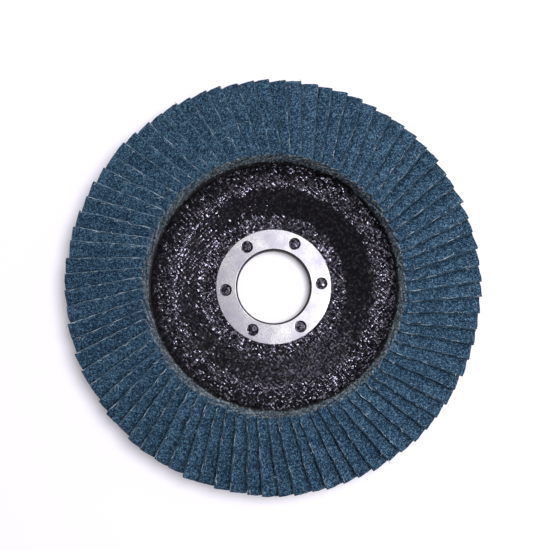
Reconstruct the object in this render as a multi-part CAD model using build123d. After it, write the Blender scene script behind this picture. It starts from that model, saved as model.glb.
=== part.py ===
from build123d import *

import os
from math import asin, cos, degrees, radians, sin, sqrt, tan

# Flap disc for an angle grinder: a moulded glass-fibre backing plate with a depressed hub, a
# pressed steel arbor ring moulded into it, and cloth flaps that stand on edge in a bed of
# adhesive, each lying on its clockwise neighbour.
#
# Millimetres. +Z runs along the bore towards the abrasive side. The origin is the centre of the
# bore, in the plane of the hub's back face, on which the disc also lies when it is put down.

# Whole disc
disc_diameter = 125.0           # over the outermost corners of the flaps
cone_angle = 10.0               # the abrasive face falls away outwards by this angle

# Steel arbor ring
bore_diameter = 22.23           # standard arbor hole
ring_flange_width = 6.5         # from the bore to the flange's outer edge
ring_thickness = 0.9            # sheet thickness of flange and collar
ring_lip_radius = 0.6           # rounding where the flange turns down into the bore
ring_proud = 0.35               # the flange's top stands this far above the hub's floor
ring_edge_rounding = 0.12
lock_hole_count = 6
lock_hole_diameter = 3.5
lock_hole_phase = 4.0           # first hole, anticlockwise from +X, in degrees
stud_recess = 0.2               # the resin in the holes stops this far below the flange's top

# Backing plate
hub_thickness = 3.6
hub_floor_width = 4.4           # flat floor of the depressed hub, outside the ring
dish_width = 8.5                # radial width of the slope that rises from the floor
dish_rise = 5.0                 # height of that slope
shoulder_width = 7.4            # from the top of the slope to the flaps' inner ends
plate_thickness = 2.4           # wall of the slope and the rim
hub_bend_radius = 3.0
crest_bend_radius = 5.0
rim_rounding = 0.7
flap_overhang = 6.0             # the flaps reach this far past the plate's rim

# Abrasive flaps
flap_count = 80
flaps_per_node = 2
flap_width = 17.5               # across the flap, from its foot to its free edge
flap_thickness = 0.9
flap_clearance = 0.06           # between neighbours where they come closest

# Adhesive bed
bed_thickness = 1.5
bed_margin = 0.8                # the bed shows this far inside the flaps' inner ends
bed_edge_setback = 0.6          # the bed stops this far short of the plate's rim
foot_clearance = 0.35           # adhesive left between a flap's foot and the plate

# Derived: ring
bore_radius = bore_diameter / 2
ring_radius = bore_radius + ring_flange_width
collar_radius = bore_radius + ring_thickness
ring_top = hub_thickness + ring_proud
ring_seat = ring_top - ring_thickness
lock_hole_pitch = 360 / lock_hole_count
lock_circle_radius = (bore_radius + ring_lip_radius + ring_radius) / 2

# Derived: plate
cone_slope = tan(radians(cone_angle))
hub_floor_radius = ring_radius + hub_floor_width
crest_radius = hub_floor_radius + dish_width
crest_height = hub_thickness + dish_rise
dish_slope = dish_rise / dish_width
disc_radius = disc_diameter / 2
plate_radius = disc_radius - flap_overhang
flap_inner_radius = crest_radius + shoulder_width

# Derived: flaps. A flap's middle plane holds a line that falls outwards at the cone angle, and
# is tilted about that line until neighbouring flaps just clear each other. They come closest at
# the foot of their inner ends.
flap_pitch = radians(360 / flap_count)
cone_cos = cos(radians(cone_angle))
cone_sin = sin(radians(cone_angle))
inner_reach = flap_inner_radius / cone_cos
half_width = flap_width / 2
closing = (
    inner_reach * cone_sin * cone_cos * (1 - cos(flap_pitch))
    + half_width * cone_sin * sin(flap_pitch)
    + half_width * cone_cos**2 * (1 - cos(flap_pitch)) / 2
)
flap_tilt = asin(
    (flap_thickness + flap_clearance + closing) / (inner_reach * cone_cos * sin(flap_pitch))
)
tilt_cos = cos(flap_tilt)
tilt_sin = sin(flap_tilt)


def front_height(radius):
    """Height of the plate's conical front face at a radius."""
    return crest_height - (radius - crest_radius) * cone_slope


def arbor_ring():
    """Pressed steel ring: a flat flange and a collar that lines the bore to the back face."""
    outline = FilletPolyline(
        (bore_radius, 0),
        (bore_radius, ring_top),
        (ring_radius, ring_top),
        (ring_radius, ring_seat),
        (collar_radius, ring_seat),
        (collar_radius, 0),
        radius=[0, ring_lip_radius, ring_edge_rounding, 0, 0, 0],
        close=True,
    )
    ring = revolve(Plane.XZ * make_face(outline), Axis.Z)
    hole = Cylinder(lock_hole_diameter / 2, ring_thickness * 3)
    return ring - [place * hole for place in lock_hole_places(ring_seat)]


def lock_hole_places(height):
    """Centres of the ring's holes, at a height."""
    for index in range(lock_hole_count):
        angle = lock_hole_phase + index * lock_hole_pitch
        yield Rot(0, 0, angle) * Pos(lock_circle_radius, 0, height)


def plate_outline():
    """Half section of the backing plate, with the ring's seat cut into the hub's floor."""
    dish_drop = plate_thickness * sqrt(1 + dish_slope**2)
    rim_drop = plate_thickness / cone_cos
    back_foot = hub_floor_radius - (hub_thickness - dish_drop) / dish_slope
    back_crest = crest_radius + (dish_drop - rim_drop) / (dish_slope + cone_slope)
    rim_front = front_height(plate_radius)
    return FilletPolyline(
        (collar_radius, 0),
        (collar_radius, ring_seat),
        (ring_radius, ring_seat),
        (ring_radius, hub_thickness),
        (hub_floor_radius, hub_thickness),
        (crest_radius, crest_height),
        (plate_radius, rim_front),
        (plate_radius, rim_front - rim_drop),
        (back_crest, front_height(back_crest) - rim_drop),
        (back_foot, 0),
        radius=[
            0,
            0,
            0,
            0,
            hub_bend_radius,
            crest_bend_radius,
            rim_rounding,
            rim_rounding,
            crest_bend_radius - plate_thickness,
            hub_bend_radius,
        ],
        close=True,
    )


def backing_plate():
    """Moulded laminate of glass fibre and resin, whose resin fills the ring's six holes."""
    plate = revolve(Plane.XZ * make_face(plate_outline()), Axis.Z)
    stud_height = ring_thickness - stud_recess
    stud = Cylinder(lock_hole_diameter / 2, stud_height, align=(Align.CENTER, Align.CENTER, Align.MIN))
    return plate + [place * stud for place in lock_hole_places(ring_seat)]


def flap():
    """One flap with its midline over +X, foot towards +Y and free edge towards -Y."""
    along = Vector(cone_cos, 0, -cone_sin)
    across = Vector(tilt_sin * cone_sin, -tilt_cos, tilt_sin * cone_cos)
    normal = Vector(tilt_cos * cone_sin, tilt_sin, tilt_cos * cone_cos)

    # The midline starts from a point on the axis that lifts the foot clear of the plate.
    lift = foot_clearance + half_width * tilt_sin + flap_thickness / 2 * tilt_cos
    apex = Vector(0, 0, front_height(0) + lift / cone_cos)

    # The corner at the outer end of the free edge, on the upper face, reaches the full radius.
    corner = across * half_width + normal * (flap_thickness / 2)
    outer_reach = (sqrt(disc_radius**2 - corner.Y**2) - corner.X) / cone_cos

    middle = apex + along * ((inner_reach + outer_reach) / 2)
    seat = Plane(origin=middle, x_dir=along, z_dir=normal)
    return seat * Box(outer_reach - inner_reach, flap_width, flap_thickness)


def flaps():
    """All the flaps, anticlockwise from +X."""
    first = flap()
    return [Rot(0, 0, degrees(index * flap_pitch)) * first for index in range(flap_count)]


def adhesive_bed(all_flaps):
    """Ring of adhesive on the plate's cone, squeezed up round the feet of the flaps."""
    inner = flap_inner_radius - bed_margin
    outer = plate_radius - bed_edge_setback
    rise = bed_thickness / cone_cos
    outline = Polyline(
        (inner, front_height(inner)),
        (outer, front_height(outer)),
        (outer, front_height(outer) + rise),
        (flap_inner_radius, front_height(flap_inner_radius) + rise),
        close=True,
    )
    bed = revolve(Plane.XZ * make_face(outline), Axis.Z)
    return bed - all_flaps


def write(name, shape):
    """Write one node's STEP file."""
    shape.label = name
    export_step(shape, os.path.join("parts", name + ".step"))


def main():
    os.makedirs("parts", exist_ok=True)
    all_flaps = flaps()
    write("arbor_ring", arbor_ring())
    write("backing_plate", backing_plate())
    write("adhesive_bed", adhesive_bed(all_flaps))
    for first in range(0, flap_count, flaps_per_node):
        group = all_flaps[first : first + flaps_per_node]
        number = first // flaps_per_node + 1
        write(f"flap_pair_{number:02d}", Compound(children=group))


main()
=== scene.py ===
import math

import bpy
import numpy as np
from mathutils import Matrix, Vector
from mathutils.geometry import delaunay_2d_cdt


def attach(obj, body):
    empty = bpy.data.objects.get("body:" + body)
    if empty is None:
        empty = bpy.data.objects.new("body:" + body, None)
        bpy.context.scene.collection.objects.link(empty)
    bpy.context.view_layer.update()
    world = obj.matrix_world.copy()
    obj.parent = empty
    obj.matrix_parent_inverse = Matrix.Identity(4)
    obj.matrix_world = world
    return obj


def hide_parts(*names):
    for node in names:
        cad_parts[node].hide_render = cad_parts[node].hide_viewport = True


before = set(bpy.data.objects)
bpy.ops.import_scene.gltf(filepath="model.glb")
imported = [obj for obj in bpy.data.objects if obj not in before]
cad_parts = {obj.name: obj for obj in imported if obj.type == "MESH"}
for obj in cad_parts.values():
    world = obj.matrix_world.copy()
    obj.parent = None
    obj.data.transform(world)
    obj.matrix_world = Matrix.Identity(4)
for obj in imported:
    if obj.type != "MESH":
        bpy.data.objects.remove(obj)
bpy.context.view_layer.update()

# Flap disc, lying on its back with the abrasive side up. Lengths in the dictionaries are in
# millimetres unless a note says otherwise, and mm turns them into metres.
mm = 0.001
scene = bpy.context.scene
print("frame loaded:", len(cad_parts), "nodes")


def latticeNoise(points, cell, seed):
    # smooth random values from -1 to 1, one per row of points, with features of about one cell
    table = np.random.default_rng(seed).uniform(-1.0, 1.0, 4096)
    q = np.asarray(points, dtype=float) / cell
    base = np.floor(q).astype(np.int64)
    f = q - base
    f = f * f * (3.0 - 2.0 * f)
    primes = (73856093, 19349663, 83492791)
    total = np.zeros(len(q))
    for corner in np.ndindex(*(2,) * q.shape[1]):
        weight = np.ones(len(q))
        key = np.zeros(len(q), dtype=np.int64)
        for axis, step in enumerate(corner):
            weight *= f[:, axis] if step else 1.0 - f[:, axis]
            key ^= (base[:, axis] + step) * primes[axis]
        total += weight * table[key & 4095]
    return total


def waveAlong(values, cell, seed):
    # the same smooth noise along one line
    return latticeNoise(np.asarray(values, dtype=float)[:, None], cell, seed)


def smoothStep(low, high, values):
    t = np.clip((values - low) / (high - low), 0.0, 1.0)
    return t * t * (3.0 - 2.0 * t)


def newObject(name, data):
    made = bpy.data.objects.new(name, data)
    scene.collection.objects.link(made)
    return made


def addPiece(name, vertices, faces, materials, faceMaterials=None, sharpAngle=50.0):
    # a closed mesh in the frame's own place, riding on the disc
    mesh = bpy.data.meshes.new(name)
    mesh.from_pydata(vertices.tolist(), [], faces)
    for material in materials:
        mesh.materials.append(material)
    if faceMaterials is not None:
        mesh.polygons.foreach_set("material_index", np.asarray(faceMaterials, dtype=np.int32))
    mesh.polygons.foreach_set("use_smooth", np.ones(len(faces), dtype=bool))
    mesh.set_sharp_from_angle(angle=math.radians(sharpAngle))
    piece = newObject(name, mesh)
    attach(piece, "root")
    return piece


def addAttribute(piece, name, kind, values):
    # a value at each vertex, which the materials read by name
    layer = piece.data.attributes.new(name, kind, "POINT")
    field = "vector" if kind == "FLOAT_VECTOR" else "value"
    layer.data.foreach_set(field, np.asarray(values, dtype=np.float32).ravel())


def emptyTree(owner):
    # the node tree of a material or a world, with nothing in it yet
    owner.use_nodes = True
    owner.node_tree.nodes.clear()
    return owner.node_tree


def addNode(tree, kind, inputs=None, **settings):
    # a node with its settings, and with its inputs either set or linked
    node = tree.nodes.new("ShaderNode" + kind)
    for name, value in settings.items():
        setattr(node, name, value)
    for socket, value in (inputs or {}).items():
        if isinstance(value, bpy.types.NodeSocket):
            tree.links.new(value, node.inputs[socket])
        else:
            node.inputs[socket].default_value = value
    return node


def newMaterial(name, **settings):
    # a material with one Principled shader, whose plain settings are written on its own sockets
    material = bpy.data.materials.new(name)
    tree = emptyTree(material)
    shader = addNode(tree, "BsdfPrincipled")
    addNode(tree, "OutputMaterial", {"Surface": shader.outputs["BSDF"]})
    for socket, value in settings.items():
        shader.inputs[socket.replace("_", " ")].default_value = value
    return material, tree, shader


def coverWith(tree, shader, colour, bump):
    tree.links.new(colour, shader.inputs["Base Color"])
    tree.links.new(bump, shader.inputs["Normal"])


def attributeAt(tree, name, output="Fac"):
    return addNode(tree, "Attribute", attribute_name=name).outputs[output]


def vectorNode(tree, operation, first, second=None):
    # SCALE takes a number as its second value, the others take a vector
    inputs = {0: first}
    if second is not None:
        inputs["Scale" if operation == "SCALE" else 1] = second
    outputs = addNode(tree, "VectorMath", inputs, operation=operation).outputs
    return outputs["Value" if operation == "LENGTH" else 0]


def splitAt(tree, vector):
    return addNode(tree, "SeparateXYZ", {"Vector": vector}).outputs


def turnedAt(tree, vector, angle):
    inputs = {"Vector": vector, "Angle": angle}
    return addNode(tree, "VectorRotate", inputs, rotation_type="Z_AXIS").outputs[0]


def placeInMillimetres(tree):
    # the surface's place in the disc, so that a texture scale is features per millimetre
    return vectorNode(tree, "SCALE", addNode(tree, "TexCoord").outputs["Object"], 1.0 / mm)


def noiseAt(tree, place, cell, detail=2.0, roughness=0.5, distortion=0.0):
    inputs = {"Vector": place, "Scale": 1.0 / cell, "Detail": detail, "Roughness": roughness}
    inputs["Distortion"] = distortion
    return addNode(tree, "TexNoise", inputs).outputs["Fac"]


def mathNode(tree, operation, first, second=0.0, clamp=False):
    inputs = {0: first, 1: second}
    return addNode(tree, "Math", inputs, operation=operation, use_clamp=clamp).outputs[0]


def times(tree, first, second):
    return mathNode(tree, "MULTIPLY", first, second)


def minus(tree, first, second):
    return mathNode(tree, "SUBTRACT", first, second)


def weightedSum(tree, *terms):
    # the sum of values, each given with its weight
    total = None
    for value, weight in terms:
        part = value if weight == 1.0 else times(tree, value, weight)
        total = part if total is None else mathNode(tree, "ADD", total, part)
    return total


def rangeNode(tree, value, low, high, toLow=0.0, toHigh=1.0, smooth=False):
    inputs = {"Value": value, "From Min": low, "From Max": high, "To Min": toLow, "To Max": toHigh}
    kind = "SMOOTHSTEP" if smooth else "LINEAR"
    return addNode(tree, "MapRange", inputs, interpolation_type=kind).outputs[0]


def rampNode(tree, value, look, *names):
    # the named colours of a finish, at the places from 0 to 1 that its tones give
    stops = list(zip(look["tones"], (look[name] for name in names)))
    ramp = addNode(tree, "ValToRGB", {"Fac": value})
    elements = ramp.color_ramp.elements
    for element, (place, colour) in zip(elements, (stops[0], stops[-1])):
        element.position, element.color = place, (*colour, 1.0)
    for place, colour in stops[1:-1]:
        elements.new(place).color = (*colour, 1.0)
    return ramp.outputs["Color"]


def mixColour(tree, factor, first, second):
    colours = [v if isinstance(v, bpy.types.NodeSocket) else (*v, 1.0) for v in (first, second)]
    return addNode(tree, "Mix", {0: factor, 6: colours[0], 7: colours[1]}, data_type="RGBA").outputs[2]


def bumpNode(tree, height, depth):
    inputs = {"Height": height, "Distance": depth * mm, "Strength": 1.0}
    return addNode(tree, "Bump", inputs).outputs["Normal"]


# Finishes

grainFinish = {
    "dark": (0.0028, 0.0148, 0.0385),  # between the grains
    "middle": (0.0170, 0.0560, 0.1085),
    "light": (0.118, 0.235, 0.365),  # grain tips
    "tones": (0.395, 0.51, 0.645),  # shades at which the three colours stand
    "clump": 0.80,
    "grit": 0.34,
    "patch": 3.2,
    "relief": 0.62,
    "wornWidth": 0.40,  # paler band along the free edge
    "wornMost": 0.6,
    "worn": (0.20, 0.30, 0.39),
    "tatter": 2.2,  # how ragged the line is where the grain is gone
}

frayFinish = {
    "dark": (0.024, 0.034, 0.048),
    "middle": (0.097, 0.125, 0.156),
    "light": (0.380, 0.430, 0.475),
    "tones": (0.36, 0.50, 0.66),
    "reach": 0.42,  # how near the inner end the cloth is bare
}


def frayedColour(tree, place):
    # the fuzz of cut yarn at a flap's inner end
    return rampNode(tree, noiseAt(tree, place, 0.75, 3.0, 0.65), frayFinish, "dark", "middle", "light")


def abrasiveGrain():
    look = grainFinish
    material, tree, shader = newMaterial("abrasive grain", Roughness=0.62, IOR=1.5, Specular_IOR_Level=0.22)
    place = placeInMillimetres(tree)
    clumps = noiseAt(tree, place, look["clump"], 1.0)
    grit = noiseAt(tree, place, look["grit"], 1.0, 0.6)
    patch = minus(tree, noiseAt(tree, place, look["patch"], 2.0), 0.5)
    height = weightedSum(tree, (clumps, 0.30), (grit, 0.70))
    shade = weightedSum(tree, (height, 1.0), (patch, 0.12), (attributeAt(tree, "flapTone"), 0.012))
    dark, middle, light = look["tones"]
    colour = mixColour(tree, rangeNode(tree, shade, dark, middle), look["dark"], look["middle"])
    colour = mixColour(tree, rangeNode(tree, shade, middle, light), colour, look["light"])
    # the free edge is worn, and pale cloth shows through in specks
    split = splitAt(tree, attributeAt(tree, "clothPlace", "Vector"))
    fromEdge = rangeNode(tree, split["Y"], -look["wornWidth"], 0.0)
    speck = rangeNode(tree, noiseAt(tree, place, 0.5, 2.0, 0.6), 0.52, 0.68)
    worn = mathNode(tree, "MULTIPLY", fromEdge, speck, clamp=True)
    colour = mixColour(tree, times(tree, worn, look["wornMost"]), colour, look["worn"])
    # and the grain is gone in tatters by the inner end
    tatters = minus(tree, noiseAt(tree, place, 0.45, 2.0, 0.6), 0.5)
    bare = weightedSum(tree, (attributeAt(tree, "innerEnd"), 1.0), (tatters, look["tatter"]))
    colour = mixColour(tree, rangeNode(tree, bare, 0.25, 0.75), colour, frayedColour(tree, place))
    coverWith(tree, shader, colour, bumpNode(tree, height, look["relief"]))
    return material

cutFinish = {
    "coat": (0.014, 0.032, 0.055),  # the grain layer, seen from its cut side
    "coatDepth": (0.18, 0.33),  # heights at which it begins and is full
    "edgeDark": (0.028, 0.058, 0.092),
    "edgeMiddle": (0.150, 0.228, 0.305),
    "edgeLight": (0.520, 0.610, 0.680),
    "tones": (0.38, 0.50, 0.68),
    "edgeInPaintedShade": (0.026, 0.068, 0.118),  # painted shade: the cut's colour where the flap's painted paleness is low
    "stretch": 2.6,  # length of the pale stretches
}


def cutCloth():
    look = cutFinish
    material, tree, shader = newMaterial("cut cloth", Roughness=0.85, Specular_IOR_Level=0.2)
    place = placeInMillimetres(tree)
    fibres = noiseAt(tree, place, 0.26, 3.0, 0.6)
    patches = noiseAt(tree, place, look["stretch"], 3.0, 0.6)
    shade = weightedSum(tree, (fibres, 0.5), (patches, 0.5))
    edge = rampNode(tree, shade, look, "edgeDark", "edgeMiddle", "edgeLight")
    depth = splitAt(tree, attributeAt(tree, "clothPlace", "Vector"))["Z"]
    depth = weightedSum(tree, (depth, 1.0), (fibres, 0.3))
    edge = mixColour(tree, rangeNode(tree, depth, *look["coatDepth"]), edge, look["coat"])
    # painted light and shade: the cut goes from its shaded colour to its own colours as the painted
    # paleness rises
    edge = mixColour(tree, attributeAt(tree, "edgePaintedLightAndTone"), look["edgeInPaintedShade"], edge)
    colour = mixColour(tree, attributeAt(tree, "innerEnd"), edge, frayedColour(tree, place))
    coverWith(tree, shader, colour, bumpNode(tree, fibres, 0.12))
    return material

backFinish = {
    "yarn": (0.215, 0.190, 0.155),
    "gap": (0.060, 0.052, 0.042),
    "tones": (0.15, 0.75),
    "pitch": 0.55,
}


def clothBack():
    look = backFinish
    material, tree, shader = newMaterial("cloth back", Roughness=0.9, Specular_IOR_Level=0.2)
    split = splitAt(tree, attributeAt(tree, "clothPlace", "Vector"))
    turn = math.pi / look["pitch"]
    warp, weft = (mathNode(tree, "SINE", times(tree, split[axis], turn)) for axis in "XY")
    weave = mathNode(tree, "ABSOLUTE", mathNode(tree, "ADD", warp, weft))
    fibres = noiseAt(tree, placeInMillimetres(tree), 0.3, 3.0, 0.6)
    height = weightedSum(tree, (weave, 0.3), (fibres, 0.6))
    coverWith(tree, shader, rampNode(tree, height, look, "gap", "yarn"), bumpNode(tree, height, 0.15))
    return material

yarnFinish = {
    "grey": (0.15, 0.215, 0.28),
    "pale": (0.72, 0.81, 0.88),
    "tones": (0.45, 0.85),
    "stainedAndShaded": (0.060, 0.115, 0.170),
}


def looseYarn():
    look = yarnFinish
    material, tree, shader = newMaterial("loose yarn", Roughness=0.75, Specular_IOR_Level=0.3)
    place = placeInMillimetres(tree)
    twist = addNode(tree, "TexWave", {"Vector": place, "Scale": 1.4, "Distortion": 3.0, "Detail": 1.0})
    twist = twist.outputs["Fac"]
    stain = noiseAt(tree, place, 0.9, 2.0)
    colour = rampNode(tree, weightedSum(tree, (twist, 0.35), (stain, 1.0)), look, "grey", "pale")
    # painted shade and real stains: the yarn darkens where the flap's painted paleness is low, and in
    # random stains
    clean = weightedSum(tree, (attributeAt(tree, "edgePaintedLightAndTone"), 1.0), (minus(tree, stain, 0.5), 1.0))
    colour = mixColour(tree, rangeNode(tree, clean, 0.05, 0.45), look["stainedAndShaded"], colour)
    coverWith(tree, shader, colour, bumpNode(tree, twist, 0.03))
    return material

plateFinish = {
    "resin": (0.0030, 0.0028, 0.0036),
    "fibre": (0.042, 0.0405, 0.0420),
    "tones": (0.44, 0.80),
    "shine": (0.80, 0.74, 1.0, 1.0),
    "roughness": (0.09, 0.21),
    "weaveTurn": 47.0,  # degrees
    "weavePitch": 1.9,
    "wander": 1.6,  # how far the strands stray
    "lump": (1.25, 0.60),  # along and across a strand
    "tilt": 1.00,  # how far the lumps face different ways
    "bulge": 0.42,
    "relief": 0.04,
    "patch": (5.5, 0.6),  # size of smoother patches, and how much of the lumps is left there
    "ragged": 3.0,  # how far the borders of smoother stretches wander
    "squeezed": (35.6, 37.6),  # radii between which the lumps drown in what the flaps squeeze out
    "squeezedLeft": 1.5,  # it comes further in on the left by this much
    "slope": (26.0, 3.0, 5.2),  # radius of the slope's middle, and where the lumps are low beside it
    "slopeRough": 0.50,
    "slopeDull": 0.05,
    "byRing": (17.0, 17.6, 0.30),  # radii by the arbor ring, and how much of the lumps is left there
    # smooth runs: angle, half the length, radius, half the width, and how much of the lumps is left
    "runs": [(32.0, 50.0, 26.4, 3.4, 0.70), (163.0, 44.0, 26.0, 3.2, 0.30)],
    "runEdge": (0.15, 1.60),  # where a run begins to fade and is over, as squares of its half sizes
}


def lumpTilt(tree, place, look):
    # lumps of resin over strands that run two ways: how each one leans, and its rounded top
    wander = addNode(tree, "TexNoise", {"Vector": place, "Scale": 0.22, "Detail": 1.0}).outputs["Color"]
    moved = vectorNode(tree, "ADD", place, vectorNode(tree, "SCALE", wander, look["wander"]))
    turned = turnedAt(tree, moved, math.radians(look["weaveTurn"]))
    tilts, crowns = [], []
    for stretch in (look["lump"], look["lump"][::-1]):
        at = vectorNode(tree, "MULTIPLY", turned, (1.0 / stretch[0], 1.0 / stretch[1], 1.0 / stretch[1]))
        cells = addNode(tree, "TexVoronoi", {"Vector": at, "Scale": 1.0, "Randomness": 0.9}, feature="F1")
        fromMiddle = vectorNode(tree, "SUBTRACT", at, cells.outputs["Position"])
        own = vectorNode(tree, "SUBTRACT", cells.outputs["Color"], (0.5, 0.5, 0.5))
        own = vectorNode(tree, "SCALE", own, look["tilt"])
        tilts.append(vectorNode(tree, "ADD", own, vectorNode(tree, "SCALE", fromMiddle, look["bulge"])))
        crowns.append(rangeNode(tree, cells.outputs["Distance"], 0.10, 0.62, 1.0, 0.0))
    split = splitAt(tree, turned)
    turn = math.pi / look["weavePitch"]
    first, second = (mathNode(tree, "SINE", times(tree, split[axis], turn)) for axis in "XY")
    over = rangeNode(tree, times(tree, first, second), -0.05, 0.05)
    crown = addNode(tree, "Mix", {0: over, 2: crowns[0], 3: crowns[1]}, data_type="FLOAT").outputs[0]
    tilt = addNode(tree, "Mix", {0: over, 4: tilts[0], 5: tilts[1]}, data_type="VECTOR").outputs[1]
    return tilt, crown


def lumpAmount(tree, place, look):
    # how much of the lumps is left at a place, and how far that is from the middle of the slope
    size, left = look["patch"]
    rough = rangeNode(tree, noiseAt(tree, place, size, 2.0, 0.5, 0.6), 0.34, 0.50, left, 1.0, True)
    broken = minus(tree, noiseAt(tree, place, 2.6, 2.0), 0.5)
    flat = vectorNode(tree, "MULTIPLY", place, (1.0, 1.0, 0.0))
    radius = vectorNode(tree, "LENGTH", flat)
    around = splitAt(tree, flat)
    bearing = mathNode(tree, "ARCTAN2", around["Y"], around["X"])
    ragged = weightedSum(tree, (radius, 1.0), (broken, look["ragged"]))
    leftward = mathNode(tree, "MULTIPLY", mathNode(tree, "DIVIDE", around["X"], radius), -1.0, clamp=True)
    crowded = weightedSum(tree, (ragged, 1.0), (leftward, look["squeezedLeft"]))
    rough = times(tree, rough, rangeNode(tree, crowded, *look["squeezed"], 1.0, 0.25))
    middle, near, far = look["slope"]
    aside = mathNode(tree, "ABSOLUTE", minus(tree, ragged, middle))
    rough = times(tree, rough, rangeNode(tree, aside, near, far, look["slopeRough"], 1.0))
    for turnTo, halfTurn, middle, halfWidth, left in look["runs"]:
        cosine = mathNode(tree, "COSINE", minus(tree, bearing, math.radians(turnTo)))
        aroundBy = mathNode(tree, "DIVIDE", mathNode(tree, "ARCCOSINE", cosine), math.radians(halfTurn))
        outBy = mathNode(tree, "DIVIDE", minus(tree, radius, middle), halfWidth)
        away = weightedSum(tree, (times(tree, aroundBy, aroundBy), 1.0), (times(tree, outBy, outBy), 1.0),
                           (broken, 2.0))
        rough = times(tree, rough, rangeNode(tree, away, *look["runEdge"], left, 1.0))
    near, far, left = look["byRing"]
    return times(tree, rough, rangeNode(tree, radius, near, far, left, 1.0)), aside


def plateLaminate():
    look = plateFinish
    settings = {"IOR": 1.66, "Specular_IOR_Level": 1.0, "Specular_Tint": look["shine"]}
    material, tree, shader = newMaterial("black laminate", **settings)
    place = placeInMillimetres(tree)
    tilt, crown = lumpTilt(tree, place, look)
    rough, aside = lumpAmount(tree, place, look)
    level = vectorNode(tree, "MULTIPLY", tilt, (1.0, 1.0, 0.0))
    level = vectorNode(tree, "SCALE", turnedAt(tree, level, -math.radians(look["weaveTurn"])), rough)
    facing = vectorNode(tree, "ADD", addNode(tree, "NewGeometry").outputs["Normal"], level)
    grit = noiseAt(tree, place, 0.30, 2.0, 0.6)
    colour = rampNode(tree, weightedSum(tree, (crown, 0.45), (grit, 0.70)), look, "resin", "fibre")
    dull = rangeNode(tree, aside, look["slope"][1], look["slope"][2], look["slopeDull"], 0.0)
    roughness = rangeNode(tree, noiseAt(tree, place, 1.8, 3.0), 0.3, 0.7, *look["roughness"])
    tree.links.new(mathNode(tree, "ADD", roughness, dull), shader.inputs["Roughness"])
    height = weightedSum(tree, (times(tree, crown, rough), 1.0), (grit, 0.35))
    bump = bumpNode(tree, height, look["relief"])
    tree.links.new(vectorNode(tree, "NORMALIZE", facing), bump.node.inputs["Normal"])
    coverWith(tree, shader, colour, bump)
    return material

steelFinish = {
    "clean": (0.86, 0.845, 0.88),
    "smudged": (0.66, 0.625, 0.755),
    "tones": (0.32, 0.68),
    "scratch": (0.35, 0.33, 0.38),
    "roughness": (0.31, 0.23),
}


def satinSteel():
    look = steelFinish
    material, tree, shader = newMaterial("satin steel", Metallic=1.0)
    place = placeInMillimetres(tree)
    smudges = noiseAt(tree, place, 5.0, 3.0, 0.5)
    fine = noiseAt(tree, place, 0.35, 3.0, 0.6)
    shade = weightedSum(tree, (smudges, 1.0), (minus(tree, fine, 0.5), 0.25))
    colour = rampNode(tree, shade, look, "smudged", "clean")
    # fine handling marks
    stretched = vectorNode(tree, "MULTIPLY", place, (1.0, 0.22, 1.0))
    marks = rangeNode(tree, noiseAt(tree, stretched, 0.30, 2.0, 0.6), 0.64, 0.74, 0.0, 0.5)
    colour = mixColour(tree, marks, colour, look["scratch"])
    tree.links.new(rangeNode(tree, smudges, 0.3, 0.7, *look["roughness"]), shader.inputs["Roughness"])
    coverWith(tree, shader, colour, bumpNode(tree, fine, 0.008))
    return material

# painted shade for the bore's wall, its lip and the holes' edges
wallShadeFinish = {"dark": (0.018, 0.017, 0.018), "light": (0.16, 0.155, 0.15), "tones": (0.42, 0.85)}


def shadedWall():
    # the bore's wall, the lip above it and the holes' edges: dull unpolished steel, darkened as painted
    # shade
    material, tree, shader = newMaterial("dull wall in painted shade", Metallic=0.5, Roughness=0.6)
    stain = noiseAt(tree, placeInMillimetres(tree), 0.8, 3.0, 0.6)
    colour = rampNode(tree, stain, wallShadeFinish, "dark", "light")
    coverWith(tree, shader, colour, bumpNode(tree, stain, 0.02))
    return material

glueFinish = {"dark": (0.0050, 0.0045, 0.0050), "light": (0.022, 0.020, 0.021), "tones": (0.35, 0.75)}


def hardenedAdhesive():
    material, tree, shader = newMaterial("hardened adhesive", Roughness=0.45)
    flow = noiseAt(tree, placeInMillimetres(tree), 0.9, 3.0, 0.6, 0.4)
    colour = rampNode(tree, flow, glueFinish, "dark", "light")
    coverWith(tree, shader, colour, bumpNode(tree, flow, 0.35))
    return material


grainMaterial = abrasiveGrain()
cutMaterial = cutCloth()
backMaterial = clothBack()
yarnMaterial = looseYarn()
laminateMaterial = plateLaminate()
steelMaterial = satinSteel()
wallMaterial = shadedWall()
glueMaterial = hardenedAdhesive()
print("finishes made:", len(bpy.data.materials))


# Flaps

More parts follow.
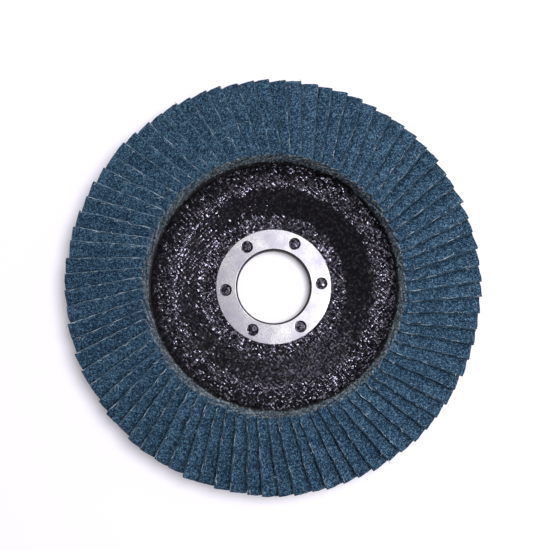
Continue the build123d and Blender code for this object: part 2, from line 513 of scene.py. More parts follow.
flapLook = {
    "rowsAlong": 72,  # mesh rows from the inner end to the outer end
    "fineWidth": 5.4,  # closely divided band by the free edge above, by the foot below
    "fineColumns": 18,
    "wideColumns": 5,
    "grainRelief": 0.055,
    "weaveRelief": 0.03,
    "turn": 0.5,  # how far a flap may be turned in its own plane, in degrees
    "slideAcross": 0.35,
    "slideOut": 0.31,
    "lift": 0.22,  # how far the outer end may stand up or sag
    "edgeWave": 0.13,
    "edgeFray": 0.07,
    "edgeStep": 0.30,  # where a flap's edge steps back
    "stepShare": 0.22,  # how many of the flaps have such a step
    "outerWave": (0.13, 0.10),  # long and short waves of the ends
    "innerWave": (0.08, 0.05),
    "cornerWear": 0.12,  # how far the outer corner by the free edge is worn back
    "endFill": 0.40,  # the outer end is cut round, this far out beside the corner
    "innerReach": 0.30,
    "innerRound": 0.9,  # rounding of the inner corner by the free edge
    "cornerReach": 5.0,
    # how deep the borders of the upper side are worn down, and how far in from the border
    "edgeWorn": (0.09, 0.5),
    "outerWorn": (0.20, 0.8),
    "innerWorn": (0.07, 0.5),
    "sideBulge": 0.05,  # the cut sides swell by this much
    # painted light and shade: the cut sides are palest on the left, where the lamps catch them, and darker
    # where they face away
    # how pale the cut sides are painted round the disc, as (bearing in degrees, paleness from 0 to 1)
    "edgePaintedLightAndTone": [
        (0, 0.45), (40, 0.38), (70, 0.20), (125, 0.22), (150, 0.65),
        (180, 1.0), (215, 0.9), (250, 0.5), (300, 0.35), (360, 0.45),
    ],
    # a random tone of each flap's own, added to that painted paleness
    "edgeToneSpread": 0.15,
    "seed": 41,
}
yarnLook = {
    "edgeRadius": (0.05, 0.095),
    "edgeLength": (0.8, 4.5),
    "edgeGap": (1.5, 12.0),
    "fibreRadius": (0.035, 0.06),
    "fibreLength": (0.8, 2.8),
    "fibresPerFlap": 5,
    "endRows": 2,
    "endLength": (0.7, 2.6),
    "endGap": (0.1, 1.1),
    "endRadius": (0.07, 0.13),
    "tufts": 22,
    "tuftLength": (0.4, 1.2),
    "tuftRadius": (0.08, 0.15),
    "edgeSpacing": 0.45,
    "endSpacing": 0.35,
    "sides": 5,
}
# places of the finishes in a flap's list of materials, after the grain at 0
cutPlace, backPlace, yarnPlace = 1, 2, 3


def flapSeats():
    # every flap's block in the frame: its middle, its three directions and its sizes in millimetres
    seats = []
    for name in sorted(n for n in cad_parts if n.startswith("flap_pair_")):
        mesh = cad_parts[name].data
        corners = np.array([v.co for v in mesh.vertices]) / mm
        for half in np.array_split(corners, 2):
            block = np.unique(np.round(half, 4), axis=0)
            middle = block.mean(0)
            spread = block - middle
            directions = np.linalg.svd(spread, full_matrices=False)[2]
            reach = [np.abs(spread @ d).max() * 2 for d in directions]
            order = np.argsort(reach)[::-1]
            along, normal = directions[order[0]], directions[order[2]]
            along = along * np.sign(along[:2] @ middle[:2])
            normal = normal * np.sign(normal[2])
            axes = np.array([along, np.cross(along, normal), normal])
            size = [reach[k] for k in order]
            seats.append({"node": name, "middle": middle, "axes": axes, "size": size})
    return seats


def flapGrid(length, width, look):
    # rows along the flap and columns across it, for the upper and for the lower side
    along = np.linspace(-length / 2, length / 2, look["rowsAlong"] + 1)
    fine = np.linspace(width / 2 - look["fineWidth"], width / 2, look["fineColumns"] + 1)
    wide = np.linspace(-width / 2, fine[0], look["wideColumns"] + 1)[:-1]
    above = np.concatenate([wide, fine])
    return along, above, -above[::-1]


def sheetFaces(rows, columns):
    # faces of the closed slab: upper side, lower side and two strips round the cut sides
    index = np.arange(rows * columns).reshape(rows, columns)
    lower = index + rows * columns
    up = np.stack([index[:-1, :-1], index[1:, :-1], index[1:, 1:], index[:-1, 1:]], -1).reshape(-1, 4)
    down = np.stack([lower[:-1, :-1], lower[:-1, 1:], lower[1:, 1:], lower[1:, :-1]], -1).reshape(-1, 4)
    border = np.concatenate([index[:-1, 0], index[-1, :-1], index[:0:-1, -1], index[0, :0:-1]])
    edge = np.arange(len(border)) + 2 * rows * columns
    following = np.roll(np.arange(len(border)), -1)
    below = border + rows * columns
    first = np.stack([border, edge, edge[following], border[following]], -1)
    second = np.stack([edge, below, below[following], edge[following]], -1)
    return border, np.concatenate([up, down, first, second]), len(up)


def strand(path, radius, sides):
    # a closed tube along a path of points, pointed at both ends
    path = np.asarray(path)
    tangent = np.gradient(path, axis=0)
    tangent /= np.linalg.norm(tangent, axis=1)[:, None] + 1e-12
    side = np.cross(tangent, (0.0, 0.0, 1.0))
    side /= np.linalg.norm(side, axis=1)[:, None] + 1e-12
    up = np.cross(side, tangent)
    turns = np.arange(sides) * 2 * math.pi / sides
    taper = np.ones(len(path))
    taper[0] = taper[-1] = 0.35
    ring = np.cos(turns)[None, :, None] * side[:, None, :] + np.sin(turns)[None, :, None] * up[:, None, :]
    vertices = path[:, None, :] + ring * (radius * taper)[:, None, None]
    count = len(path)
    faces = []
    for i in range(count - 1):
        for k in range(sides):
            a = i * sides + k
            b = i * sides + (k + 1) % sides
            faces.append((a, b, b + sides, a + sides))
    faces.append(tuple(range(sides))[::-1])
    faces.append(tuple(range((count - 1) * sides, count * sides)))
    return vertices.reshape(-1, 3), faces


def edgePath(start, length, spacing):
    return start + np.linspace(0.0, length, max(3, int(length / spacing) + 1))


def flapStrands(random, size, edgeAt, innerAt, yarn):
    # yarn laid bare by the cut, in the flap's own coordinates, each with its radius and finish
    length, width, thickness = size
    found = []

    def keep(path, radii, finish):
        found.append((np.stack(path, -1), random.uniform(*yarn[radii]), finish))

    place = -length / 2 + random.uniform(0.2, 2.5)
    while place < length / 2 - 1.0:
        run = min(random.uniform(*yarn["edgeLength"]), length / 2 - place)
        u = edgePath(place, run, yarn["edgeSpacing"])
        seed = int(random.integers(1 << 30))
        v = edgeAt(u) + 0.02 + 0.05 * waveAlong(u, 0.9, seed)
        w = random.uniform(-0.05, 0.30) + 0.09 * waveAlong(u, 1.1, seed + 1)
        keep((u, v, w), "edgeRadius", yarnPlace)
        place += run + random.uniform(*yarn["edgeGap"])
    for _ in range(yarn["fibresPerFlap"]):
        u0 = random.uniform(-length / 2, length / 2)
        span = random.uniform(*yarn["fibreLength"])
        heading = random.uniform(-1.0, 1.0)
        curl = random.uniform(-1.6, 1.6)
        t = np.linspace(0.0, 1.0, 7)
        angle = heading + curl * t
        u = np.minimum(u0 + np.cumsum(np.cos(angle)) * span / 7, length / 2 + 0.35)
        v = edgeAt(np.clip(u, -length / 2, length / 2)) - 0.1 + np.cumsum(np.sin(angle)) * span / 7 * 0.5
        w = thickness / 2 + 0.05 + 0.12 * np.sin(math.pi * t) * random.uniform(0.2, 1.0)
        w = np.where(v > width / 2, w - (v - width / 2) * 0.5, w)
        keep((u, v, w), "fibreRadius", yarnPlace)
    for row in range(yarn["endRows"]):
        place = -width / 2 + random.uniform(0.0, 1.5)
        while place < width / 2 - 1.0:
            run = min(random.uniform(*yarn["endLength"]), width / 2 - place)
            v = edgePath(place, run, yarn["endSpacing"])
            seed = int(random.integers(1 << 30))
            u = innerAt(v) - 0.02 - 0.12 * np.abs(waveAlong(v, 0.8, seed))
            across = random.uniform(-0.5, 0.5) * (v - v.mean()) + 0.10 * waveAlong(v, 0.9, seed + 1)
            w = (row - 0.5) * 0.42 - 0.05 + np.clip(across, -0.35, 0.35)
            keep((u, v, w), "endRadius", cutPlace)
            place += run + random.uniform(*yarn["endGap"])
    for _ in range(yarn["tufts"]):
        v = random.uniform(-width / 2, width / 2)
        w = random.uniform(-0.45, 0.45) * thickness
        heading = random.normal(0.0, 1.0, 3) * (0.5, 1.0, 0.8) - (0.7, 0.0, 0.0)
        heading *= random.uniform(*yarn["tuftLength"]) / np.linalg.norm(heading)
        root = np.array([float(innerAt(np.array([v]))[0]) + 0.05, v, w])
        t = np.linspace(0.0, 1.0, 4)[:, None]
        sag = np.array([0.0, 0.0, -0.15]) * random.uniform(-1.0, 1.0)
        keep((root + heading * t + sag * t * t).T, "tuftRadius", cutPlace)
    return found


def twoWaves(depths, values, cell, seed):
    # a long wave and a short one on top of it
    return depths[0] * waveAlong(values, cell, seed) + depths[1] * waveAlong(values, 0.7, seed + 1)


def makeFlap(number, seat, look, yarn):
    random = np.random.default_rng(look["seed"] * 1000 + number)
    length, width, thickness = seat["size"]
    along, above, under = flapGrid(length, width, look)
    rows, columns = len(along), len(above)
    border, faces, upperCount = sheetFaces(rows, columns)
    seed = int(random.integers(1 << 30))
    stepAt = random.uniform(-length / 2, length / 2)
    stepBy = -look["edgeStep"] * random.uniform(0.3, 1.0) if random.random() < look["stepShare"] else 0.0
    stepSide = random.choice([-1.0, 1.0])

    def edgeShift(u):
        wave = look["edgeWave"] * waveAlong(u, 5.0, seed) + look["edgeFray"] * waveAlong(u, 0.8, seed + 1)
        step = stepBy * smoothStep(-0.5, 0.5, (u - stepAt) * stepSide)
        back = np.clip(1.0 - (u + length / 2) / look["innerRound"], 0.0, 1.0)
        return wave + step - look["innerRound"] * 0.6 * back**2

    def outerShift(v):
        # the corner by the free edge is worn back
        back = (width / 2 - v) / look["cornerReach"]
        worn = look["cornerWear"] * np.clip(1.0 - back, 0.0, 1.0)
        fill = look["endFill"] * np.sin(math.pi / 2 * np.clip(back, 0.0, 2.0))
        return twoWaves(look["outerWave"], v, 3.0, seed + 2) - worn + fill

    def innerShift(v):
        # the inner corner fans out towards the bore
        frayed = look["innerReach"] * np.clip(1.0 - (width / 2 - v) / look["cornerReach"], 0.0, 1.0)
        return twoWaves(look["innerWave"], v, 2.5, seed + 9) - frayed

    # upper side, lower side, and one line of vertices half way down the cut sides
    u = np.repeat(along, columns)
    upper = np.stack([u, np.tile(above, rows), np.full(rows * columns, thickness / 2)], -1)
    lower = np.stack([u, np.tile(under, rows), np.full(rows * columns, -thickness / 2)], -1)
    middle = (upper[border] + lower[border]) / 2
    local = np.concatenate([upper, lower, middle])
    plan = local.copy()
    plan[:, 1] -= width / 2
    count = rows * columns
    fromEdge = width / 2 - local[:, 1]
    fromFoot = width / 2 + local[:, 1]
    fromOuter = length / 2 - local[:, 0]
    fromInner = length / 2 + local[:, 0]
    # the grain's relief above, the weave's below, and the worn borders of the upper side
    face, back = local[:count], local[count:2 * count]
    relief = look["grainRelief"] * latticeNoise(face[:, :2], 0.40, seed + 4)
    relief += look["grainRelief"] * 0.6 * latticeNoise(face[:, :2], 0.9, seed + 5)
    face[:, 2] += relief
    back[:, 2] += look["weaveRelief"] * latticeNoise(back[:, :2], 0.6, seed + 6)
    for away, worn in ((fromEdge, "edgeWorn"), (fromOuter, "outerWorn"), (fromInner, "innerWorn")):
        depth, reach = look[worn]
        face[:, 2] -= depth * (1.0 - smoothStep(0.0, reach, away[:count]))
    bulge = np.zeros(len(local))
    swell = look["sideBulge"]
    bulge[2 * count:] = swell + swell * latticeNoise(plan[2 * count:, :2], 0.5, seed + 7)
    sides = (fromEdge, fromFoot, fromOuter, fromInner)
    atFree, atFoot, atOuter, atInner = ((away < 1e-6).astype(float) for away in sides)
    local[:, 1] += (atFree - atFoot) * bulge
    local[:, 0] += (atOuter - atInner) * bulge
    local[:, 1] += edgeShift(plan[:, 0]) * (1.0 - smoothStep(0.0, 1.6, fromEdge))
    place = plan[:, 1] + width / 2
    local[:, 0] += outerShift(place) * (1.0 - smoothStep(0.0, 2.5, fromOuter))
    local[:, 0] += innerShift(place) * (1.0 - smoothStep(0.0, 2.5, fromInner))

    # how this flap lies: turned and slid in its own plane, lifted or sagging towards the rim
    turn = math.radians(look["turn"]) * random.uniform(-1.0, 1.0)
    slideAcross = look["slideAcross"] * random.uniform(-1.0, 1.0)
    slideOut = look["slideOut"] * random.uniform(-0.9, 0.9)
    lift = look["lift"] * random.uniform(-1.0, 1.0)
    twist = look["lift"] * 0.5 * random.uniform(-1.0, 1.0)

    def settle(points):
        out = np.clip((points[:, 0] + length / 2) / length, 0.0, 1.2)
        side = points[:, 1] / width
        ripple = out * 0.25 * look["lift"] * waveAlong(points[:, 1], 5.0, seed + 8)
        rise = out * out * (lift * 0.6 + twist * side * 1.4) + ripple
        u = points[:, 0] + length / 2
        x = u * math.cos(turn) - points[:, 1] * math.sin(turn) - length / 2 + slideOut
        y = u * math.sin(turn) + points[:, 1] * math.cos(turn) + slideAcross
        flat = np.stack([x, y, points[:, 2] + rise], -1)
        return (seat["middle"] + flat @ seat["axes"]) * mm

    vertices = [settle(local)]
    plans = [plan]
    allFaces = faces.tolist()
    total = len(local)
    marks = [0] * upperCount + [backPlace] * upperCount
    marks += [cutPlace] * (len(faces) - len(marks))

    def edgeLine(u):
        return width / 2 + edgeShift(u)

    def innerLine(v):
        return -length / 2 + innerShift(v)

    for path, radius, finish in flapStrands(random, seat["size"], edgeLine, innerLine, yarn):
        tube, tubeFaces = strand(settle(path), radius * mm, yarn["sides"])
        vertices.append(tube)
        plans.append(np.repeat(path, yarn["sides"], axis=0))
        allFaces.extend(tuple(total + k for k in face) for face in tubeFaces)
        marks.extend([finish] * len(tubeFaces))
        total += len(tube)
    materials = [grainMaterial, cutMaterial, backMaterial, yarnMaterial]
    piece = addPiece(f"flap_{number:02d}", np.concatenate(vertices), allFaces, materials, marks)
    addAttribute(piece, "clothPlace", "FLOAT_VECTOR", np.concatenate(plans))
    addAttribute(piece, "flapTone", "FLOAT", np.full(total, random.uniform(-1.0, 1.0)))
    # painted light: the flap's cut sides take the paleness listed for its bearing, plus a random tone of
    # its own
    bearing = math.degrees(math.atan2(seat["middle"][1], seat["middle"][0])) % 360
    spread = look["edgeToneSpread"]
    edgeLightAndTone = np.interp(bearing, *zip(*look["edgePaintedLightAndTone"])) + random.uniform(-spread, spread)
    addAttribute(piece, "edgePaintedLightAndTone", "FLOAT", np.full(total, float(np.clip(edgeLightAndTone, 0.0, 1.0))))
    fromEnd = np.concatenate(plans)[:, 0] + length / 2
    addAttribute(piece, "innerEnd", "FLOAT", 1.0 - smoothStep(0.0, frayFinish["reach"], fromEnd))
    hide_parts(seat["node"])
    return len(allFaces)


seats = flapSeats()
faceTotal = 0
for number, seat in enumerate(seats, 1):
    faceTotal += makeFlap(number, seat, flapLook, yarnLook)
print("flaps made:", len(seats), "with", faceTotal, "faces, size", np.round(seats[0]["size"], 3))


# Backing plate

plateLook = {
    # half section, as (radius, height, rounding)
    "section": [
        (12.015, 0.0, 0.0),
        (12.015, 3.05, 0.0),
        (17.615, 3.05, 0.0),
        (17.615, 3.60, 0.0),
        (22.015, 3.60, 3.0),
        (30.515, 8.60, 5.0),
        (56.5, 4.018, 0.7),
        (56.5, 1.581, 0.7),
        (30.969, 6.083, 2.6),
        (20.629, 0.0, 3.0),
    ],
    "segments": 600,
    "arcStep": 0.35,  # between rows of vertices on the rounded corners
    "fineStep": 0.30,  # and where the front shows
    "shownBetween": (17.6, 38.6),  # radii
    "wallHalf": 1.0,  # from the front to the middle of the wall
    "backStep": 0.75,
    "hiddenStep": 4.0,  # under the flaps
    "weavePitch": 1.7,
    "weaveTurn": 47.0,  # degrees
    "weaveRelief": 0.07,
    "beadRelief": 0.06,
    "backRelief": (0.05, 0.06),  # the back's weave, and how far it is pressed in
}
studLook = {
    "count": 6,
    "circle": 14.665,
    "phase": 4.0,  # degrees
    "radius": 1.75,
    "foot": 3.05,
    "top": 3.75,
    "sunk": 0.15,  # its surface lies this far below the top
    "grain": 0.03,
    "rings": 12,
    "segments": 40,
    "crown": 0.07,  # the resin's swirl in the middle
    "moat": 0.07,
}


def circlePoints(radius, segments, cx=0.0, cy=0.0):
    angles = np.arange(segments) * 2 * math.pi / segments
    return np.stack([cx + radius * np.cos(angles), cy + radius * np.sin(angles)], -1)


def holeCentres(stud):
    for k in range(stud["count"]):
        turn = math.radians(stud["phase"] + 360.0 / stud["count"] * k)
        yield stud["circle"] * math.cos(turn), stud["circle"] * math.sin(turn)


def roundedSection(section, arcStep, stepAt):
    # the half section with its corners rounded and its runs divided, and the way out of the wall
    points = [np.array(p[:2]) for p in section]
    outline = []
    for k, (point, (_, _, rounding)) in enumerate(zip(points, section)):
        if rounding == 0.0:
            outline.append(point)
            continue
        before = points[k - 1]
        after = points[(k + 1) % len(points)]
        a = (before - point) / np.linalg.norm(before - point)
        b = (after - point) / np.linalg.norm(after - point)
        half = math.acos(float(np.clip(a @ b, -1.0, 1.0))) / 2
        reach = rounding / math.tan(half)
        centre = point + (a + b) / np.linalg.norm(a + b) * rounding / math.sin(half)
        start, end = point + a * reach - centre, point + b * reach - centre
        sweep = math.atan2(start[0] * end[1] - start[1] * end[0], start @ end)
        for t in np.linspace(0.0, sweep, max(4, int(abs(sweep) * rounding / arcStep) + 2)):
            c, s = math.cos(t), math.sin(t)
            outline.append(centre + np.array([c * start[0] - s * start[1], s * start[0] + c * start[1]]))
    dense = []
    for k, point in enumerate(outline):
        after = outline[(k + 1) % len(outline)]
        span = np.linalg.norm(after - point)
        count = max(1, round(span / stepAt((point + after) / 2)))
        dense.extend(point + (after - point) * t for t in np.arange(count) / count)
    dense = np.array(dense)
    run = np.roll(dense, -1, axis=0) - np.roll(dense, 1, axis=0)
    normal = np.stack([-run[:, 1], run[:, 0]], -1)
    normal /= np.linalg.norm(normal, axis=1)[:, None]
    return dense, normal


def frontLine(radius, look):
    # height of the middle of the wall, which parts the front of the section from its back
    radii, fronts, _ = zip(*look["section"][3:7])
    return np.interp(radius, radii, np.array(fronts) - look["wallHalf"])


def plateStep(place, look):
    # how closely the section is divided there
    radius, height = place
    inner, outer = look["shownBetween"]
    if height <= frontLine(radius, look) or radius <= inner:
        return look["backStep"]
    return look["fineStep"] if radius < outer else look["hiddenStep"]


def weaveHeight(x, y, look):
    # woven cloth that shows through the resin, as heights from -1 to 1
    turn = math.radians(look["weaveTurn"])
    place = np.stack([x, y], -1)
    x = x + 0.5 * latticeNoise(place, 7.0, 11)
    y = y + 0.5 * latticeNoise(place, 7.0, 12)
    a = (x * math.cos(turn) + y * math.sin(turn)) / look["weavePitch"]
    b = (-x * math.sin(turn) + y * math.cos(turn)) / look["weavePitch"]
    # in every other square of the weave the strand on top runs the other way
    overA = np.clip(0.5 + 2.0 * np.sin(a * math.pi) * np.sin(b * math.pi), 0.0, 1.0)
    strandA = np.abs(np.sin(b * math.pi * 1.5))
    strandB = np.abs(np.sin(a * math.pi * 1.5))
    return (overA * strandA + (1.0 - overA) * strandB) * 2.0 - 1.0


def makePlate(look, stud):
    section, normal = roundedSection(look["section"], look["arcStep"], lambda place: plateStep(place, look))
    segments = look["segments"]
    angles = np.arange(segments) * 2 * math.pi / segments
    radius = np.repeat(section[:, 0], segments)
    height = np.repeat(section[:, 1], segments)
    outR = np.repeat(normal[:, 0], segments)
    outZ = np.repeat(normal[:, 1], segments)
    turn = np.tile(angles, len(section))
    x, y = radius * np.cos(turn), radius * np.sin(turn)
    woven = weaveHeight(x, y, look)
    # the relief fades out by the ring, by the bore and by the rim
    front = (height > frontLine(radius, look)).astype(float)
    byRim = 1.0 - smoothStep(54.5, 56.0, radius)
    shown = front * smoothStep(17.7, 18.3, radius) * byRim
    behind = (1.0 - front) * smoothStep(12.5, 14.0, radius) * byRim
    flat = np.stack([x, y], -1)
    patch = smoothStep(-0.55, 0.25, latticeNoise(flat, 5.0, 13))
    beads = latticeNoise(flat, 0.45, 14)
    relief = (0.35 + 0.65 * patch) * (look["weaveRelief"] * woven + look["beadRelief"] * beads)
    backWeave, backPressed = look["backRelief"]
    relief = relief * shown + (backWeave * woven - backPressed) * behind
    radius = radius + outR * relief
    height = height + outZ * relief
    vertices = np.stack([radius * np.cos(turn), radius * np.sin(turn), height], -1) * mm
    index = np.arange(len(section) * segments).reshape(len(section), segments)
    after = np.roll(index, -1, axis=0)
    faces = np.stack([after, np.roll(after, -1, axis=1), np.roll(index, -1, axis=1), index], -1)
    faces = faces.reshape(-1, 4).tolist()
    parts = [vertices]
    total = len(vertices)
    for k, centre in enumerate(holeCentres(stud)):
        dome, domeFaces = studShape(k, centre, stud)
        parts.append(dome * mm)
        faces.extend(tuple(total + n for n in face) for face in domeFaces)
        total += len(dome)
    piece = addPiece("woven_plate", np.concatenate(parts), faces, [laminateMaterial])
    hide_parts("backing_plate")
    return len(faces)


def studShape(k, centre, look):
    # resin that has filled one of the ring's holes: a closed button with a dimpled top
    n = look["segments"]
    top = look["top"] - look["sunk"]
    rows = []
    for r in np.linspace(look["radius"] / look["rings"], look["radius"], look["rings"]):
        flat = circlePoints(r, n, *centre)
        t = r / look["radius"]
        crown = look["crown"] * (1.0 - smoothStep(0.10, 0.45, t))
        moat = look["moat"] * math.exp(-((t - 0.75) / 0.14) ** 2)
        z = top + crown - moat + look["grain"] * latticeNoise(flat, 0.55, 60 + k)
        rows.append(np.column_stack([flat, z]))
    rows.append(np.column_stack([circlePoints(look["radius"], n, *centre), np.full(n, look["foot"])]))
    middle = np.array([[*centre, top + look["crown"] * 0.8]])
    vertices = np.concatenate(rows + [middle])
    faces = []
    for i in range(len(rows) - 1):
        for j in range(n):
            faces.append((i * n + j, (i + 1) * n + j, (i + 1) * n + (j + 1) % n, i * n + (j + 1) % n))
    tip = len(vertices) - 1
    faces.extend((tip, j, (j + 1) % n) for j in range(n))
    faces.append(tuple(range((len(rows) - 1) * n, len(rows) * n))[::-1])
    return vertices, faces


print("plate made with", makePlate(plateLook, studLook), "faces")


# Arbor ring and adhesive bed

ringLook = {
    "bore": 11.115,
    "lip": 0.60,
    "collar": 12.015,
    "outer": 17.615,
    "top": 3.95,
    "seat": 3.05,
    "edge": 0.12,
    "holeRadius": 1.75,
    "holeEdge": 0.13,
    "holeDepth": 0.7,  # of the hole's edge, against its width
    "segments": 240,
    "holeSegments": 56,
}


def holedSheet(loops, stud, holeSize):
    # triangles of a flat ring with its holes, on the given border circles
    flat = np.concatenate(loops)
    edges = []
    start = 0
    for loop in loops:
        count = len(loop)
        edges.extend((start + k, start + (k + 1) % count) for k in range(count))
        start += count
    found = delaunay_2d_cdt([Vector(p) for p in flat], edges, [], 0, 1e-6)
    points = np.array([list(p) for p in found[0]])
    keep = []
    centres = [np.array(c) for c in holeCentres(stud)]
    inner = np.linalg.norm(loops[1][0])
    for face in found[2]:
        centre = points[list(face)].mean(0)
        if np.linalg.norm(centre) < inner * 0.9999:
            continue
        if any(np.linalg.norm(centre - c) < holeSize * 0.999 for c in centres):
            continue
        keep.append(tuple(face))
    return points, keep


def makeRing(look, stud):
    segments, holeSegments = look["segments"], look["holeSegments"]
    lipStart = look["bore"] + look["lip"]
    topHole = look["holeRadius"] + look["holeEdge"]
    topLoops = [circlePoints(look["outer"] - look["edge"], segments), circlePoints(lipStart, segments)]
    seatLoops = [circlePoints(look["outer"], segments), circlePoints(look["collar"], segments)]
    for cx, cy in holeCentres(stud):
        topLoops.append(circlePoints(topHole, holeSegments, cx, cy))
        seatLoops.append(circlePoints(look["holeRadius"], holeSegments, cx, cy))
    vertices, faces, marks = [], [], []

    def addPoints(flat, height):
        start = sum(len(v) for v in vertices)
        vertices.append(np.column_stack([flat, np.full(len(flat), height)]))
        return start + np.arange(len(flat))

    def bridge(upper, lower, outward, finish=0):
        for k in range(len(upper)):
            n = (k + 1) % len(upper)
            quad = (upper[k], lower[k], lower[n], upper[n])
            faces.append(tuple(int(v) for v in (quad if outward else quad[::-1])))
        marks.extend([finish] * len(upper))

    def roundOff(line, steps, radiusAt, drop, outward, shadeFrom=1.0, centre=(0.0, 0.0)):
        # down a rounded edge, with the wall's dull finish and painted shade after a share of the way
        for t in np.linspace(1.0 / steps, 1.0, steps):
            a = t * math.pi / 2
            circle = circlePoints(radiusAt(math.sin(a)), len(line), *centre)
            lower = addPoints(circle, look["top"] - drop * (1.0 - math.cos(a)))
            bridge(line, lower, outward, int(t > shadeFrom))
            line = lower
        return line

    topPoints, topFaces = holedSheet(topLoops, stud, topHole)
    seatPoints, seatFaces = holedSheet(seatLoops, stud, look["holeRadius"])
    top = addPoints(topPoints, look["top"])
    seat = addPoints(seatPoints, look["seat"])
    faces.extend(tuple(int(top[k]) for k in face) for face in topFaces)
    faces.extend(tuple(int(seat[k]) for k in face[::-1]) for face in seatFaces)
    flatCount = len(faces)
    marks.extend([0] * flatCount)
    edge = look["edge"]
    rim = roundOff(top[:segments], 4, lambda sine: look["outer"] - edge * (1.0 - sine), edge, True)
    bridge(rim, seat[:segments], True)
    # the lip that turns down into the bore, the collar's foot and its outside
    inner = top[segments:2 * segments]
    # the lip and the bore's wall take the dull finish with painted shade, past the first step
    lip = roundOff(inner, 8, lambda sine: lipStart - look["lip"] * sine, look["lip"], False, 0.13)
    foot = addPoints(circlePoints(look["bore"], segments), 0.0)
    bridge(lip, foot, False, 1)
    outside = addPoints(circlePoints(look["collar"], segments), 0.0)
    bridge(foot, outside, False)
    bridge(outside, seat[segments:2 * segments], False)
    # holes with a pressed edge
    holeEdge = look["holeEdge"]
    drop = holeEdge * look["holeDepth"]
    for k, centre in enumerate(holeCentres(stud)):
        start = 2 * segments + k * holeSegments
        hole = slice(start, start + holeSegments)
        # the holes' edges take the dull finish with painted shade, past the first step
        line = roundOff(top[hole], 4, lambda sine: topHole - holeEdge * sine, drop, False, 0.3, centre)
        bridge(line, seat[hole], False, 1)
    materials = [steelMaterial, wallMaterial]
    piece = addPiece("pressed_ring", np.concatenate(vertices) * mm, faces, materials, marks, 35.0)
    for polygon in piece.data.polygons[:flatCount]:
        polygon.use_smooth = False
    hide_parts("arbor_ring")
    return len(faces)


print("ring made with", makeRing(ringLook, studLook), "faces")

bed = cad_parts["adhesive_bed"]
bed.data.materials.clear()
bed.data.materials.append(glueMaterial)


# Table top, lamps and camera

floorLook = {
    "size": 3.0,  # metres
    "below": 0.00002,  # metres under the disc
    "colour": (0.80, 0.77, 0.86),
    "shown": (0.16, 0.90),  # how white it is shown besides, near by and far off
    "far": (0.14, 0.90),  # metres from the middle
}
lampLook = {
    # turn from the right anticlockwise and lean from straight up, in degrees, then distance and
    # size in metres, then how bright a white sheet that faces the lamp would be
    "right": (-12.0, 34.0, 0.90, 0.20, 0.29),
    "panel": (22.0, 16.0, 0.90, 0.50, 0.145),
    "behind": (100.0, 50.0, 0.60, 0.80, 0.54),
    "glint": (110.0, 48.0, 0.60, 0.28, 0.08),
    "left": (150.0, 60.0, 0.90, 0.50, 0.05),
    "side": (0.0, 66.0, 0.90, 0.40, 0.20),
    "table": (22.0, 17.0, 0.90, 0.50, 0.98),
}
noGlossLamps = ("behind", "left", "side")  # not seen in shiny surfaces
worldLook = {"ambient": 0.23, "colour": (0.97, 0.97, 1.0), "shine": 0.06, "shineColour": (0.90, 0.87, 1.0)}
cameraLook = {
    "place": (-6.86, -15.34, 310.9),
    "tilt": (-3.528, 1.356),  # degrees
    "focal": 1006.0,  # in pixels of a render that is this many across
    "across": 550.0,
}


def makeFloor(look):
    half = look["size"] / 2
    mesh = bpy.data.meshes.new("table_top")
    corners = [(-half, -half, 0), (half, -half, 0), (half, half, 0), (-half, half, 0)]
    mesh.from_pydata(corners, [], [(0, 1, 2, 3)])
    floor = newObject("table_top", mesh)
    floor.location.z = -look["below"]
    material = bpy.data.materials.new("white table")
    tree = emptyTree(material)
    matt = addNode(tree, "BsdfDiffuse", {"Color": (*look["colour"], 1.0)})
    rays = addNode(tree, "LightPath").outputs
    seen = mathNode(tree, "MAXIMUM", rays["Is Camera Ray"], rays["Is Glossy Ray"])
    seen = mathNode(tree, "MAXIMUM", seen, rays["Is Transmission Ray"])
    apart = vectorNode(tree, "LENGTH", addNode(tree, "TexCoord").outputs["Object"])
    strength = times(tree, seen, rangeNode(tree, apart, *look["far"], *look["shown"]))
    glow = addNode(tree, "Emission", {"Color": (1.0, 1.0, 1.0, 1.0), "Strength": strength})
    both = addNode(tree, "AddShader", {0: matt.outputs[0], 1: glow.outputs[0]})
    addNode(tree, "OutputMaterial", {"Surface": both.outputs[0]})
    mesh.materials.append(material)
    return floor


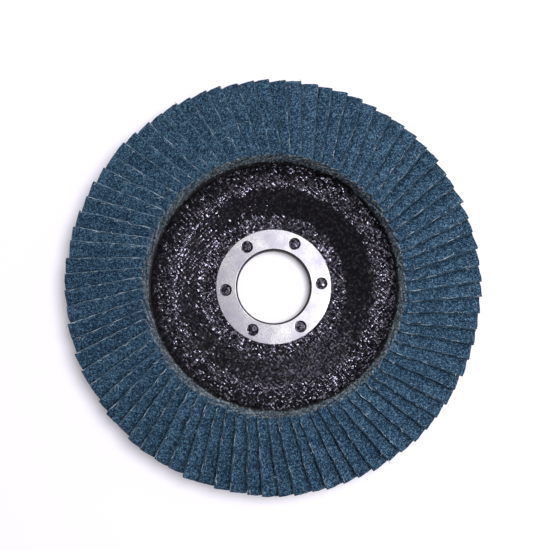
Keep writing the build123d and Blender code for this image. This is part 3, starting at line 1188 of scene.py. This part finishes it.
def makeLamps(lamps, floor):
    # the table has a lamp of its own, and the others leave it out
    lit = bpy.data.collections.new("table only")
    lit.objects.link(floor)
    unlit = bpy.data.collections.new("all but the table")
    unlit.objects.link(floor)
    unlit.collection_objects[0].light_linking.link_state = "EXCLUDE"
    for name, (turn, lean, distance, size, level) in lamps.items():
        lamp = bpy.data.lights.new(name, "AREA")
        lamp.shape = "DISK"
        lamp.size = size
        lamp.energy = level * math.pi**2 * (distance**2 + (size / 2) ** 2)
        holder = newObject(name, lamp)
        turn, lean = math.radians(turn), math.radians(lean)
        away = Vector((math.cos(turn) * math.sin(lean), math.sin(turn) * math.sin(lean), math.cos(lean)))
        holder.location = away * distance
        holder.rotation_euler = away.to_track_quat("Z", "Y").to_euler()
        holder.visible_camera = False
        holder.visible_glossy = name not in noGlossLamps
        holder.light_linking.receiver_collection = lit if name == "table" else unlit


def makeWorld(look):
    world = bpy.data.worlds.new("studio")
    scene.world = world
    tree = emptyTree(world)
    rays = addNode(tree, "LightPath").outputs

    def background(colour, strength):
        return addNode(tree, "Background", {"Color": (*colour, 1.0), "Strength": strength}).outputs[0]

    room = background(look["colour"], look["ambient"])
    shine = background(look["shineColour"], look["shine"])
    first = addNode(tree, "MixShader", {0: rays["Is Glossy Ray"], 1: room, 2: shine}).outputs[0]
    direct = mathNode(tree, "MAXIMUM", rays["Is Camera Ray"], rays["Is Transmission Ray"])
    last = addNode(tree, "MixShader", {0: direct, 1: first, 2: background((1.0, 1.0, 1.0), 1.0)})
    addNode(tree, "OutputWorld", {"Surface": last.outputs[0]})


def makeCamera(look):
    lens = bpy.data.cameras.new("camera")
    lens.sensor_width = 36.0
    lens.lens = look["focal"] / look["across"] * lens.sensor_width
    lens.clip_start = 0.01
    camera = newObject("camera", lens)
    tiltX, tiltY = (math.radians(v) for v in look["tilt"])
    turned = Matrix.Rotation(tiltX, 3, "X") @ Matrix.Rotation(tiltY, 3, "Y")
    place = Matrix.Translation(Vector(look["place"]) * mm)
    camera.matrix_world = place @ turned.transposed().to_4x4()
    scene.camera = camera


makeLamps(lampLook, makeFloor(floorLook))
makeWorld(worldLook)
makeCamera(cameraLook)
scene.view_settings.view_transform = "Standard"
print("table, lamps and camera set")
